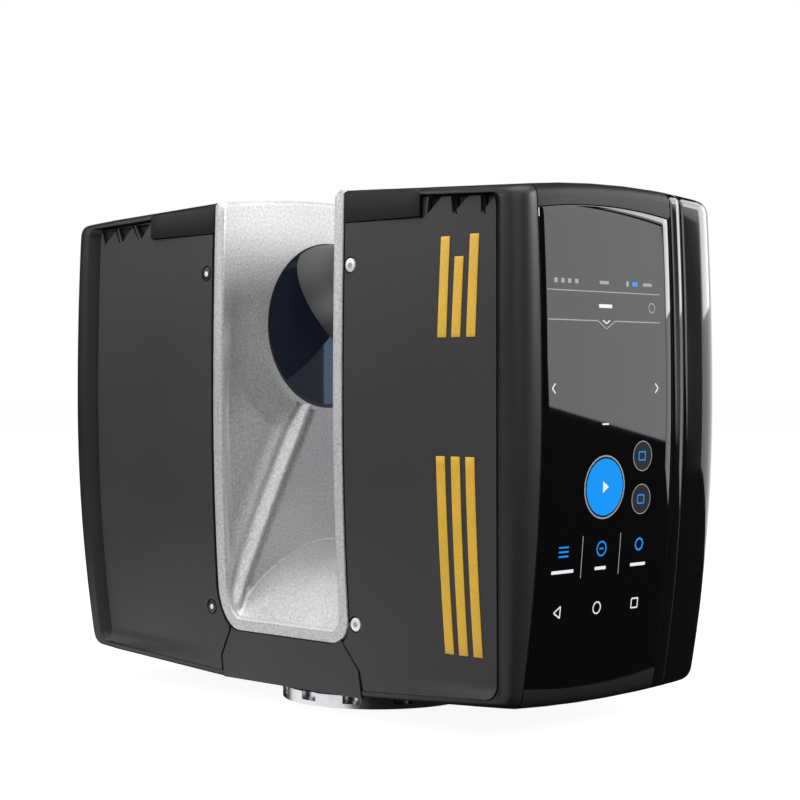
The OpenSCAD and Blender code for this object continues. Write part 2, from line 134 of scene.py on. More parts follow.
def link_object(name, mesh, material):
    obj = bpy.data.objects.new(name, mesh)
    bpy.context.scene.collection.objects.link(obj)
    if material:
        mesh.materials.append(material)
    return obj


def make_object(name, verts, faces, material):
    mesh = bpy.data.meshes.new(name)
    mesh.from_pydata([Vector(v) * MM for v in verts], [], faces)
    return link_object(name, mesh, material)


def grid_faces(rows, first=0):
    """Quads between rows of points of one length, whose first point has the number first."""
    width = len(rows[0])
    return [tuple(first + corner for corner in (j * width + i, j * width + i + 1,
                                                (j + 1) * width + i + 1, (j + 1) * width + i))
            for j in range(len(rows) - 1) for i in range(width - 1)]


def tidy_mesh(obj, inside=None, drop=None):
    """Merges doubled points, drops unwanted faces and turns the faces away from the inside point."""
    bm = bmesh.new()
    bm.from_mesh(obj.data)
    bmesh.ops.remove_doubles(bm, verts=bm.verts, dist=MERGE)
    bmesh.ops.dissolve_degenerate(bm, edges=bm.edges, dist=DEGENERATE)
    if drop:
        doomed = [f for f in bm.faces if drop(f.calc_center_median() / MM)]
        bmesh.ops.delete(bm, geom=doomed, context="FACES")
    if inside:
        centre = Vector(inside) * MM
        outward = sum(f.normal.dot((f.calc_center_median() - centre).normalized()) * f.calc_area()
                      for f in bm.faces)
        if outward < 0:
            bmesh.ops.reverse_faces(bm, faces=bm.faces)
    bm.to_mesh(obj.data)
    bm.free()


def match_normals(obj):
    """Makes neighbouring faces look to the same side."""
    bm = bmesh.new()
    bm.from_mesh(obj.data)
    bmesh.ops.recalc_face_normals(bm, faces=bm.faces)
    bm.to_mesh(obj.data)
    bm.free()


def shade(obj, angle=35):
    obj.data.shade_smooth()
    obj.data.set_sharp_from_angle(angle=math.radians(angle))


def bake(obj):
    """Applies the modifiers."""
    graph = bpy.context.evaluated_depsgraph_get()
    mesh = bpy.data.meshes.new_from_object(obj.evaluated_get(graph))
    obj.modifiers.clear()
    obj.data = mesh


def thicken(obj, thickness):
    solid = obj.modifiers.new("wall", "SOLIDIFY")
    solid.thickness, solid.offset = thickness * MM, -1
    bake(obj)


def soften(obj, width=0.3, angle=50):
    bevel = obj.modifiers.new("edge", "BEVEL")
    bevel.width, bevel.segments = width * MM, 2
    bevel.limit_method, bevel.angle_limit = "ANGLE", math.radians(angle)
    bake(obj)


def cut(obj, cutters, operation="DIFFERENCE"):
    for cutter in cutters:
        boolean = obj.modifiers.new("cut", "BOOLEAN")
        boolean.object, boolean.operation, boolean.solver = cutter, operation, "EXACT"
        bake(obj)
        bpy.data.objects.remove(cutter)


def grid(name, rows, material, inside, thickness=SHELL_T, drop=None, edge=0.3):
    """A skin through rows of points, made into a wall that lies on its inner side."""
    obj = make_object(name, [p for row in rows for p in row], grid_faces(rows), material)
    tidy_mesh(obj, inside, drop)
    if thickness:
        thicken(obj, thickness)
    if edge:
        soften(obj, edge)
    shade(obj)
    return obj


def prism(outline, axis, low, high):
    """A closed prism on an outline. The outline's two coordinates are the two other axes, in order."""
    count = len(outline)
    verts = []
    for level in (low, high):
        for point in outline:
            verts.append([*point[:axis], level, *point[axis:]])
    faces = [tuple(range(count)), tuple(range(2 * count - 1, count - 1, -1))]
    faces += [(i, (i + 1) % count, count + (i + 1) % count, count + i) for i in range(count)]
    obj = make_object("cutter", verts, faces, None)
    match_normals(obj)
    return obj


def face_prism(outline, end, near, far):
    """A prism on an outline in the front view, between two depths in front (end -1) or behind (end 1)."""
    return prism(outline, 1, *sorted((end * near, end * far)))


def circle(cx, cy, radius, count=48):
    angles = [2 * math.pi * i / count for i in range(count)]
    return [(cx + radius * math.cos(a), cy + radius * math.sin(a)) for a in angles]


def place(obj, body, slot, *replaced):
    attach(obj, body)
    if replaced:
        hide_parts(*replaced)
    return obj


# ---- materials ----
def surface(name, color, roughness, metallic=0.0, grain=(900, 0.12), cloud=(14, 0.05),
            bump=(2200, 0.15, 0.03), rough_swing=0.06, coat=0.0, specular=0.5, stretch=(1, 1, 1)):
    """A Principled material with fine grain, slow clouding, uneven roughness and a fine relief.

    grain and cloud are (scale, amount), bump is (scale, strength, height).
    """
    material = bpy.data.materials.new(name)
    material.use_nodes = True
    tree = material.node_tree
    shader = tree.nodes["Principled BSDF"]
    shader.inputs["Metallic"].default_value = metallic
    shader.inputs["Coat Weight"].default_value = coat
    shader.inputs["Coat Roughness"].default_value = 0.03
    shader.inputs["Specular IOR Level"].default_value = specular
    coords = tree.nodes.new("ShaderNodeTexCoord")
    mapping = tree.nodes.new("ShaderNodeMapping")
    mapping.inputs["Scale"].default_value = stretch
    tree.links.new(coords.outputs["Object"], mapping.inputs["Vector"])

    def noise(scale, detail=3.0):
        node = tree.nodes.new("ShaderNodeTexNoise")
        node.inputs["Scale"].default_value = scale
        node.inputs["Detail"].default_value = detail
        tree.links.new(mapping.outputs["Vector"], node.inputs["Vector"])
        return node.outputs["Fac"]

    def remap(value, low, high, start=0.3, end=0.7):
        node = tree.nodes.new("ShaderNodeMapRange")
        for key, number in (("From Min", start), ("From Max", end), ("To Min", low), ("To Max", high)):
            node.inputs[key].default_value = number
        tree.links.new(value, node.inputs["Value"])
        return node.outputs["Result"]

    def tint(factor, amount, base):
        node = tree.nodes.new("ShaderNodeMix")
        node.data_type, node.blend_type = "RGBA", "MULTIPLY"
        node.inputs["Factor"].default_value = 1.0
        shades = tree.nodes.new("ShaderNodeCombineColor")
        level = remap(factor, 1 - amount, 1 + amount)
        for channel in ("Red", "Green", "Blue"):
            tree.links.new(level, shades.inputs[channel])
        if isinstance(base, tuple):
            node.inputs["A"].default_value = base
        else:
            tree.links.new(base, node.inputs["A"])
        tree.links.new(shades.outputs["Color"], node.inputs["B"])
        return node.outputs["Result"]

    fine = noise(grain[0])
    slow = noise(cloud[0], 2.0)
    tree.links.new(tint(slow, cloud[1], tint(fine, grain[1], (*color, 1.0))), shader.inputs["Base Color"])
    tree.links.new(remap(slow, roughness - rough_swing, roughness + rough_swing), shader.inputs["Roughness"])
    relief = tree.nodes.new("ShaderNodeBump")
    relief.inputs["Strength"].default_value = bump[1]
    relief.inputs["Distance"].default_value = bump[2] * MM
    tree.links.new(noise(bump[0], 2.0), relief.inputs["Height"])
    tree.links.new(relief.outputs["Normal"], shader.inputs["Normal"])
    return material


def glowing(name, color, strength, roughness=0.12):
    """A lit part of the screen."""
    dull = tuple(c * 0.2 for c in color)
    material = surface(name, dull, roughness, grain=(700, 0.02), bump=(900, 0.02, 0.01))
    shader = material.node_tree.nodes["Principled BSDF"]
    shader.inputs["Emission Color"].default_value = (*color, 1.0)
    shader.inputs["Emission Strength"].default_value = strength
    return material


FINISHES = {
    "machined_steel": surface("machined_steel", (0.66, 0.66, 0.68), 0.22, 1.0, (500, 0.05),
                              bump=(1500, 0.1, 0.02)),
    "brass_gear": surface("brass_gear", (0.72, 0.53, 0.24), 0.28, 1.0),
    "coated_glass": surface("coated_glass", (0.03, 0.05, 0.08), 0.05, 0.0, (300, 0.02),
                            bump=(500, 0.01, 0.01)),
    "cast_aluminium": surface("cast_aluminium", (0.56, 0.56, 0.565), 0.46, 0.4, (1300, 0.22), (30, 0.04),
                              (1500, 0.45, 0.1)),
    "graphite_shell": surface("graphite_shell", (0.013, 0.013, 0.0138), 0.44, 0.0, (1500, 0.14), (18, 0.06),
                              (3000, 0.25, 0.04), specular=0.35),
    "cap_plastic": surface("cap_plastic", (0.009, 0.009, 0.0093), 0.5, 0.0, (1200, 0.1), (20, 0.05),
                           specular=0.25),
    "cover_plastic": surface("cover_plastic", (0.028, 0.028, 0.0295), 0.5, 0.0, (1500, 0.14), (18, 0.06),
                             (3000, 0.25, 0.04), specular=0.4),
    # rubber seals, and also the painted shade sheets in the gills
    "seal_rubber": surface("seal_rubber", (0.006, 0.006, 0.006), 0.8, 0.0, (900, 0.1)),
    # bright screws, and also the right tower's screw heads and the left tower's screw sockets as painted
    # highlight
    "bright_screw": surface("bright_screw", (0.86, 0.86, 0.87), 0.32, 0.3, (600, 0.04),
                            bump=(1200, 0.05, 0.01)),
    "bezel_plastic": surface("bezel_plastic", (0.012, 0.012, 0.0125), 0.4, 0.0, (1500, 0.1), (18, 0.05),
                             specular=0.3),
    "display_glass": surface("display_glass", (0.0015, 0.0015, 0.0018), 0.03, 0.0, (300, 0.03), (10, 0.03),
                             (300, 0.01, 0.01), rough_swing=0.01, coat=1.0),
    "gloss_trim": surface("gloss_trim", (0.0025, 0.0025, 0.003), 0.08, 0.0, (300, 0.04), (10, 0.04),
                          (400, 0.02, 0.01), rough_swing=0.02, coat=1.0),
    # black anodised parts, and also the left tower's screw heads as painted shade
    "black_anodised": surface("black_anodised", (0.013, 0.013, 0.0135), 0.42, 0.0, (900, 0.08)),
    "brass_housing": surface("brass_housing", (0.7, 0.55, 0.3), 0.3, 1.0),
    "circuit_board": surface("circuit_board", (0.02, 0.12, 0.05), 0.4, 0.0, (250, 0.3), (40, 0.2)),
    "copper_winding": surface("copper_winding", (0.7, 0.32, 0.14), 0.35, 1.0, (400, 0.2), stretch=(6, 1, 1)),
    # magnets, and also the right tower's screw sockets as painted shade
    "magnet": surface("magnet", (0.4, 0.4, 0.42), 0.35, 1.0),
    "mirror_coating": surface("mirror_coating", (0.82, 0.83, 0.85), 0.04, 1.0, (200, 0.02), (8, 0.03),
                              (300, 0.005, 0.01), rough_swing=0.01),
    "window_glass": surface("window_glass", (0.02, 0.026, 0.046), 0.035, 0.0, (200, 0.03), (8, 0.06),
                            (300, 0.005, 0.01), rough_swing=0.01, coat=1.0),
    "bay_plastic": surface("bay_plastic", (0.05, 0.05, 0.055), 0.55),
    "card_cage": surface("card_cage", (0.7, 0.7, 0.72), 0.25, 1.0, (600, 0.06), stretch=(1, 8, 1)),
}
STRIPE_YELLOW = surface("stripe_yellow", (0.72, 0.43, 0.035), 0.42, 0.0, (1600, 0.1), (60, 0.05),
                        (2500, 0.2, 0.03))
SCREEN_WHITE = glowing("screen_white", (0.8, 0.82, 0.85), 0.8)
SCREEN_GREY = glowing("screen_grey", (0.5, 0.51, 0.53), 0.4)
SCREEN_BLUE = glowing("screen_blue", (0.01, 0.28, 0.85), 0.85)
SCREEN_DIM = glowing("screen_dim", (0.05, 0.055, 0.06), 0.3)

NODE_SLOTS = {
    "machined_steel": "base_ring azimuth_spindle spindle_nut azimuth_bearing traverse_bolts mirror_bearings "
                      "mirror_shaft door_hinge_pin",
    "brass_gear": "azimuth_gear azimuth_pinion",
    "coated_glass": "azimuth_encoder_disc objective_lens mirror_encoder_disc",
    "window_glass": "exit_window",
    "cast_aluminium": "traverse channel_floor left_wall right_wall",
    "graphite_shell": "left_shell right_shell battery_door bearing_skirt",
    "cap_plastic": "left_cap right_cap",
    "cover_plastic": "left_front_cover left_rear_cover right_front_cover right_rear_cover "
                     "front_foot_cover rear_foot_cover",
    "seal_rubber": "channel_seals",
    "bright_screw": "base_screws cover_screws power_button",
    "bezel_plastic": "display_bezel",
    "display_glass": "display_glass",
    "gloss_trim": "side_trim",
    "black_anodised": "azimuth_motor window_ring lens_barrel camera_module mirror_motor_housing "
                      "mirror_holder display_module door_latch battery memory_card",
    "brass_housing": "laser_module",
    "circuit_board": "azimuth_encoder_reader detector_board main_board power_board antenna_board "
                     "mirror_encoder_reader button_board",
    "copper_winding": "motor_stator",
    "magnet": "motor_magnets",
    "mirror_coating": "mirror_glass",
    "bay_plastic": "battery_bay",
    "card_cage": "card_reader",
}


def dress_nodes():
    for slot, names in NODE_SLOTS.items():
        for name in names.split():
            mesh = nodes[name].data
            mesh.materials.clear()
            mesh.materials.append(FINISHES[slot])


# ---- stage ----
CAMERA_AT = (490.28, -484.70, 111.30)
CAMERA_AZIMUTH, CAMERA_PITCH = math.radians(44.68), math.radians(0.52)


def make_camera():
    camera = bpy.data.objects.new("camera", bpy.data.cameras.new("camera"))
    bpy.context.scene.collection.objects.link(camera)
    level = math.cos(CAMERA_PITCH)
    forward = Vector((-math.sin(CAMERA_AZIMUTH) * level, math.cos(CAMERA_AZIMUTH) * level,
                      -math.sin(CAMERA_PITCH)))
    camera.location = Vector(CAMERA_AT) * MM
    camera.rotation_mode = "QUATERNION"
    camera.rotation_quaternion = forward.to_track_quat("-Z", "Y")
    camera.data.lens, camera.data.sensor_width = 86.8, 36
    camera.data.clip_start = 0.01
    bpy.context.scene.camera = camera


def make_world(ambient=0.3, mirrored=0.012):
    """White behind the object for the camera, a dim even light, and near darkness in reflections."""
    world = bpy.data.worlds.new("studio")
    bpy.context.scene.world = world
    world.use_nodes = True
    tree = world.node_tree
    tree.nodes.clear()
    path = tree.nodes.new("ShaderNodeLightPath")
    result = None
    for ray, level in ((None, ambient), ("Is Glossy Ray", mirrored), ("Is Camera Ray", 1.0)):
        shade_of_ray = tree.nodes.new("ShaderNodeBackground")
        shade_of_ray.inputs["Color"].default_value = (level, level, level, 1)
        if ray:
            blend = tree.nodes.new("ShaderNodeMixShader")
            tree.links.new(path.outputs[ray], blend.inputs["Fac"])
            tree.links.new(result, blend.inputs[1])
            tree.links.new(shade_of_ray.outputs["Background"], blend.inputs[2])
            result = blend.outputs["Shader"]
        else:
            result = shade_of_ray.outputs["Background"]
    out = tree.nodes.new("ShaderNodeOutputWorld")
    tree.links.new(result, out.inputs["Surface"])


def make_floor():
    paint = surface("floor_paint", (0.2, 0.2, 0.2), 0.9, 0.0, (40, 0.01), specular=0.0)
    shader = paint.node_tree.nodes["Principled BSDF"]
    shader.inputs["Emission Color"].default_value = (1, 1, 1, 1)
    shader.inputs["Emission Strength"].default_value = 0.93
    floor = make_object("floor", [(-9000, -9000, 0), (9000, -9000, 0), (9000, 9000, 0), (-9000, 9000, 0)],
                        [(0, 1, 2, 3)], paint)
    floor.visible_glossy = False
    floor.visible_diffuse = False


def soft_light(name, location, target, size, power):
    light = bpy.data.objects.new(name, bpy.data.lights.new(name, "AREA"))
    bpy.context.scene.collection.objects.link(light)
    light.data.shape, light.data.energy = "RECTANGLE", power
    light.data.size, light.data.size_y = size
    light.location = location
    light.rotation_mode = "QUATERNION"
    light.rotation_quaternion = (Vector(target) - Vector(location)).to_track_quat("-Z", "Y")
    return light


def reflection_card(name, corners, radiance, color=(1, 1, 1)):
    """A studio card that only shows in reflections."""
    card = make_object(name, corners, [tuple(range(len(corners)))], None)
    material = bpy.data.materials.new(name)
    material.use_nodes = True
    tree = material.node_tree
    tree.nodes.clear()
    emission, out = tree.nodes.new("ShaderNodeEmission"), tree.nodes.new("ShaderNodeOutputMaterial")
    emission.inputs["Color"].default_value = (*color, 1)
    emission.inputs["Strength"].default_value = radiance
    tree.links.new(emission.outputs["Emission"], out.inputs["Surface"])
    card.data.materials.append(material)
    card.visible_camera = card.visible_diffuse = card.visible_shadow = card.visible_transmission = False
    return card


def card_at(eye, directions, distance):
    """Corners of a card seen from eye in the given directions (azimuth from +X, elevation), in degrees."""
    corners = []
    for azimuth, elevation in directions:
        a, e = math.radians(azimuth), math.radians(elevation)
        ray = Vector((math.cos(a) * math.cos(e), math.sin(a) * math.cos(e), math.sin(e)))
        corners.append(Vector(eye) + ray * distance)
    return corners


CARD_DISTANCE = 1900


def make_stage():
    make_camera()
    make_world()
    make_floor()
    scene = bpy.context.scene
    scene.view_settings.view_transform = "Standard"
    centre = (0, 0, 0.1)
    soft_light("top_box", (0.1, -0.35, 1.3), centre, (1.4, 1.2), 23)
    soft_light("front_box", (0.3, -1.25, 0.6), centre, (0.9, 0.7), 4)
    soft_light("rear_box", (0.5, 1.3, 0.6), centre, (0.8, 0.8), 6)
    soft_light("left_box", (-0.6, -0.6, 0.45), (-0.1, -0.05, 0.11), (0.4, 0.4), 2.2)
    soft_light("channel_box", (0.72, 0.06, 0.43), (-0.02, 0, 0.15), (0.3, 0.3), 6)
    # the display mirrors what stands to the rear right, as seen from the camera's image in the glass
    image = (2 * (HALF_W - 0.4) - CAMERA_AT[0], CAMERA_AT[1], CAMERA_AT[2])
    display = [(46.2, 1.3), (49.5, -0.67), (53.2, -2.8), (53.45, -2.95), (53.45, 30), (46.2, 30)]
    reflection_card("display_card", card_at(image, display, CARD_DISTANCE), 1.25)
    # a glow that runs down the rounded rear corner
    glow = [(54.6, -6), (92, -9), (128, -9), (128, 22), (92, 22), (54.6, 22)]
    reflection_card("corner_card", card_at((HALF_W, 40, 111), glow, CARD_DISTANCE), 1.0)
    # what the window and the base ring mirror
    reflection_card("window_card", [(62, 78, 80), (62, 98, 80), (62, 98, 136), (62, 78, 136)], 1.4,
                    (0.47, 0.66, 1.0))
    reflection_card("base_card", [(-350, -420, -25), (40, -420, -25), (40, -50, -25), (-350, -50, -25)], 1.3)


# ---- towers ----
SPLIT = 90                    # where roof and underside hand over to the rounded corners
SIDE_TOP, SIDE_BOTTOM = 158, 20
ROUND_END = {-1: 43.7, 1: 37.5}   # depth at which the vertical corners' rounding ends
# each outline: set in from roof, extra set-in from the side, from underside, corner radius
SILHOUETTE = (0, None, 0, 4)
CREST_OUT = (1.8, 0, 1.6, 4)
CREST_IN = {-1: (2.3, 2.8, 2.0, 3.5), 1: (2.3, 1.2, 2.0, 2.5)}
PANEL = {-1: (2.6, 6.5, 2.1, 3), 1: (2.6, 3.2, 2.1, 0.8)}
DOOR_TOP, DOOR_BOTTOM, DOOR_HALF = 76.2, 20, 36
BUTTON_HOLE_R = 5.3
FOOT_EDGE, SKIRT_R = {-1: 30.2, 1: 39.7}, 40.2    # what the towers' undersides keep clear of
ARC = (0.35, 0.65)            # stretch of a rounded corner's path that its arc takes


def set_in(z, outline, end):
    return 0 if outline[1] is None else face_y(z) - ROUND_END[end] + outline[1]


def corner_point(f, y, outline, end, upper):
    """A point of a rounded corner. f runs from roof or underside (0) to the side (1)."""
    height, offset, limit = (roof_z, -outline[0], SIDE_TOP) if upper else (belly_z, outline[2], SIDE_BOTTOM)
    radius = outline[3]
    down = -1 if upper else 1
    z = height(HALF_W, y) + offset
    for _ in range(3):
        u = side_x(z) - set_in(z, outline, end)
        z = height(u, y) + offset
    if f < ARC[0]:
        at = mix(SPLIT, u - radius, f / ARC[0])
        return at, height(at, y) + offset
    low = z + down * radius
    if f > ARC[1]:
        at = mix(low, limit, (f - ARC[1]) / (1 - ARC[1]))
        return side_x(at) - set_in(at, outline, end), at
    t = (f - ARC[0]) / (ARC[1] - ARC[0])
    first = (u - radius, height(u - radius, y) + offset)
    last = (side_x(low) - set_in(low, outline, end), low)
    return tuple(mix(mix(first[i], (u, z)[i], t), mix((u, z)[i], last[i], t), t) for i in (0, 1))


def tower_point(station, y, outline, end, side):
    """A point (u, z) of a tower's front-view outline at a depth."""
    kind, value = station
    if kind == "roof":
        return value, roof_z(value, y) - outline[0]
    if kind == "upper":
        return corner_point(value, y, outline, end, True)
    if kind == "side":
        return side_x(value) - set_in(value, outline, end), value
    if kind == "lower":
        return corner_point(value, y, outline, end, False)
    inner = max(FOOT_EDGE[side], math.sqrt(max(0, SKIRT_R ** 2 - y * y)))
    u = mix(SPLIT, inner, value)
    return u, belly_z(u, y) + outline[2]


def rim_point(station, end, angle, side):
    """A point on the rounded edge between face (90 degrees) and outer skin (0 degrees)."""
    crest = tower_point(station, 48, CREST_OUT, end, side)
    outer = tower_point(station, 48, SILHOUETTE, end, side)
    radius = math.dist(crest, outer)
    a = math.radians(angle)
    y = face_y(crest[1]) - radius * (1 - math.sin(a))
    crest, outer = (tower_point(station, y, o, end, side) for o in (CREST_OUT, SILHOUETTE))
    u, z = (mix(crest[i], outer[i], math.cos(a)) for i in (0, 1))
    return side * u, end * (face_y(z) - radius * (1 - math.sin(a))), z


def skin_point(station, row, side):
    """A point of a tower's skin. A row is a depth, or an end with a rounding angle or a named line."""
    if not isinstance(row, tuple):
        end = -1 if row < 0 else 1
        crest = tower_point(station, 48, CREST_OUT, end, side)
        outer = tower_point(station, 48, SILHOUETTE, end, side)
        radius = math.dist(crest, outer)
        depth = face_y(crest[1]) - abs(row)
        if depth < radius:
            x, y, z = rim_point(station, end, math.degrees(math.asin(1 - depth / radius)), side)
            return x, row, z
        u, z = tower_point(station, row, SILHOUETTE, end, side)
        return side * u, row, z
    end, line = row
    if line == "panel":
        u, z = tower_point(station, 49, PANEL[end], end, side)
        return side * u, end * (face_y(z) - recess(u, z, side) - 0.35), z
    if line == "crest":
        u, z = tower_point(station, 49, CREST_IN[end], end, side)
        return side * u, end * face_y(z), z
    if line == "cap":
        return side * station[1], end * face_y(CAP_Z), CAP_Z
    return rim_point(station, end, line, side)


UPPER = [("upper", f) for f in (0.254, 0.35, 0.4, 0.45, 0.5, 0.55, 0.6, 0.65, 0.8)]
LOWER = [("lower", f) for f in (0.8, 0.65, 0.6, 0.55, 0.5, 0.45, 0.4, 0.35, 0.254)]
SIDE = [("side", z) for z in spread(SIDE_TOP, DOOR_TOP, 10) + spread(DOOR_TOP, SIDE_BOTTOM, 8)[1:]]
BELLY = [("belly", f) for f in spread(0, 1, 9)]
ANGLES = (90, 72, 54, 36, 18, 0)


def rows_of(end, lines):
    rows = [(end, line) for line in lines]
    return rows if end < 0 else rows[::-1]


def skin(stations, rows, side):
    return [[skin_point(s, r, side) for s in stations] for r in rows]


def roof_stations(start, stop, count=6):
    return [("roof", u) for u in spread(start, stop, count)]


def join(objects, name):
    """Joins finished skins into one piece."""
    bm = bmesh.new()
    for obj in objects:
        bm.from_mesh(obj.data)
    mesh = bpy.data.meshes.new(name)
    bm.to_mesh(mesh)
    bm.free()
    mesh.materials.append(objects[0].data.materials[0])
    for obj in objects:
        bpy.data.objects.remove(obj)
    piece = link_object(name, mesh, None)
    shade(piece)
    return piece


def merge_grids(name, parts, material, inside):
    """Several grids of points with shared edges, as one wall."""
    verts, faces = [], []
    for rows in parts:
        faces += grid_faces(rows, len(verts))
        verts += [p for row in rows for p in row]
    obj = make_object(name, verts, faces, material)
    tidy_mesh(obj, inside)
    match_normals(obj)
    tidy_mesh(obj, inside)
    thicken(obj, SHELL_T)
    soften(obj)
    shade(obj)
    return obj


def left_tower_shell():
    side = -1
    stations = roof_stations(CAP_EDGE[side] + 0.2, SPLIT) + UPPER + SIDE + LOWER + BELLY
    rows = (rows_of(-1, ("panel", "crest") + ANGLES) + [-36, -24, -12, 0, 12, 24, 36]
            + rows_of(1, ("panel", "crest") + ANGLES))
    shell = grid("left_tower_shell", skin(stations, rows, side), FINISHES["graphite_shell"], (-60, 0, 90),
                 drop=lambda c: c.x < -100 and abs(c.y) < DOOR_HALF and DOOR_BOTTOM < c.z < DOOR_TOP)
    low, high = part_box("power_button")
    y, z = (low.y + high.y) / 2 / MM, (low.z + high.z) / 2 / MM
    cut(shell, [prism(circle(y, z, BUTTON_HOLE_R), 0, -125, -105)])
    shade(shell)
    return place(shell, "head", "graphite_shell", "left_shell")


def right_tower_shell():
    side = 1
    roof = roof_stations(CAP_EDGE[side] + 0.2, SPLIT) + UPPER[:1]
    belly = LOWER[-1:] + BELLY
    flank = UPPER + SIDE + LOWER
    front = rows_of(-1, ("panel", "crest", 90, 72, 54, 36)) + [SEAM_Y]
    rear = [(1, 78.5)] + rows_of(1, ("panel", "crest", 90))
    depth = [SEAM_Y, -30, -15, 0, 15, 30, 44] + rear
    parts = [skin(roof + flank[1:] + belly[1:], front, side), skin(roof, depth, side),
             skin(belly, depth, side), skin(flank, rear, side)]
    shell = merge_grids("right_tower_shell", parts, FINISHES["graphite_shell"], (70, 0, 90))
    return place(shell, "head", "graphite_shell", "right_shell")


def tower_cap(side):
    name = SIDE_NAME[side]
    stations = roof_stations(CHANNEL[side] + 0.3, CAP_EDGE[side], 9)
    rows = (rows_of(-1, ("cap",) + ANGLES) + [-36, -24, -12, 0, 12, 24, 36] + rows_of(1, ("cap",) + ANGLES))
    cap = grid(name + "_roof_cap", skin(stations, rows, side), FINISHES["cap_plastic"], (side * 50, 0, 90),
               edge=0.25)
    return place(cap, "head", "cap_plastic", name + "_cap")


def glass_outline(grow):
    """Outline of the display glass in the side view: straight ends and slightly arched top and bottom."""
    ys = spread(GLASS_Y[0] - grow, GLASS_Y[1] + grow, 25)
    top = [(y, GLASS_TOP + grow - sagitta(GLASS_ARC_R, y - GLASS_ARC_Y)) for y in ys]
    bottom = [(y, GLASS_BOTTOM - grow + sagitta(GLASS_ARC_R, y - GLASS_ARC_Y)) for y in ys]
    return top + bottom[::-1]


def display_frame():
    rows = [-44.6, -43.7, -30, -15, 0, 15, 20]
    frame_piece = grid("display_frame", skin(UPPER + SIDE + LOWER, rows, 1), FINISHES["bezel_plastic"],
                       (60, 0, 90), edge=None)
    cut(frame_piece, [prism(glass_outline(0.25), 0, 95, 125)])
    shade(frame_piece)
    return place(frame_piece, "head", "bezel_plastic", "display_bezel")


def screen_x(z):
    return side_x(z) - GLASS_DEPTH


def display_pane():
    rows = []
    for y in spread(*GLASS_Y, 22):
        arch = sagitta(GLASS_ARC_R, y - GLASS_ARC_Y)
        rows.append([(screen_x(z), y, z) for z in spread(GLASS_TOP - arch, GLASS_BOTTOM + arch, 50)])
    pane = grid("display_pane", rows, FINISHES["display_glass"], (60, 0, 90), thickness=1.5, edge=0.25)
    return place(pane, "head", "display_glass", "display_glass")


def side_trims():
    stations = UPPER + SIDE + LOWER
    gloss, inside = FINISHES["gloss_trim"], (60, 0, 90)
    band = grid("side_band", skin(stations, [20.3, 22, 24, 25.5], 1), gloss, inside, edge=0.1)
    place(band, "head", "gloss_trim")
    seam = grid("side_seam", skin(stations, [25.5, 25.9], 1), FINISHES["bezel_plastic"], inside, edge=None)
    place(seam, "head", "bezel_plastic")
    rows = [25.9, 28, 30, 32, 34, 36] + [(1, a) for a in (*range(0, 73, 8), 78)]
    corner = grid("rear_corner_trim", skin(stations, rows, 1), gloss, inside, edge=0.12)
    place(corner, "head", "gloss_trim", "side_trim")


# ---- covers ----
CORNER = {-1: (10, 16), 1: (8.5, 8.5)}      # the channel's lower corners: across, up
FOOT = {-1: [(24.5, 25), (30, 15.6), (30, 0)], 1: [(31.5, 26), (38.5, 17), (39.5, 0)]}
GILLS = {   # outer end, inner end and tip of each gill
    -1: [(98.6, 89.4, 96.8), (88.1, 79.1, 85.7), (77.3, 68.4, 73.7)],
    1: [(72.2, 77.8, 71.6), (81.3, 88.9, 82.2), (93.4, 99.6, 93.6)],
}
GILL_Z, GILL_DEPTH = 168, 2.1
SCREW_X = {-1: 34.2, 1: 38.5}
SCREW_Z = (32.4, 149.4)
SCREW_R, SOCKET_R, COUNTERBORE_R = 2.25, 1.0, 2.75
COVER_GAP = 1.1               # between the cast lip and a cover
CLEAR = 60                    # a depth outside the body, where cuts end


def cover_name(side, end):
    return SIDE_NAME[side] + "_" + END_NAME[end]


def cover_outline(side, end):
    """Outline of a cover in the front view, from the cap round by channel, foot, underside and side."""
    edge = CHANNEL[side] + COVER_GAP
    across, up = CORNER[side]
    centre_u, centre_z = CHANNEL[side] - across, CHANNEL_Z + up
    outline = [(CAP_EDGE[side] + SEAM, CAP_Z - SEAM), (edge, CAP_Z - SEAM)]
    foot = [(u + 0.9, z) for u, z in FOOT[side]]
    for angle in spread(0, 80, 17):
        a = math.radians(angle)
        u = centre_u + (across + COVER_GAP) * math.cos(a)
        z = centre_z - (up + COVER_GAP) * math.sin(a)
        if u > foot[0][0]:
            outline.append((u, z))
    outline += foot[:2]
    low, side_in, belly, radius = PANEL[end]
    line = (low + SEAM, side_in + SEAM, belly + 0.1, radius)
    last = foot[2][0]
    outline += [(u, belly_z(u, 48) + line[2]) for u in spread(last, SPLIT, 8)[:-1]]
    stations = [("lower", f) for f in (0, 0.35, 0.45, 0.55, 0.65)] + SIDE[::-1]
    stations += [("upper", f) for f in (0.65, 0.55, 0.45, 0.35, 0)]
    outline += [tower_point(s, 49, line, end, side) for s in stations]
    outline += [(u, roof_z(u, 49) - line[0]) for u in spread(SPLIT, CAP_EDGE[side] + SEAM, 5)[1:]]
    return [(side * u, z) for u, z in outline]


def gill_shapes(side):
    """Outlines of the triangular gills and of the slots between them."""
    shapes = []   # the first gill has no slot beside it
    for number, (left, right, tip) in enumerate(GILLS[side]):
        top = roof_z(left, 49) - 3.1
        shapes.append([(left, top), (right, top), (tip, top - 5.4)])
        if number:
            slot_z = top - 5.6
            shapes.append([(left + 2.4, top), (left + 1.3, top), (tip + 1.1, slot_z), (tip + 1.8, slot_z)])
    return [[(side * u, z) for u, z in shape] for shape in shapes]


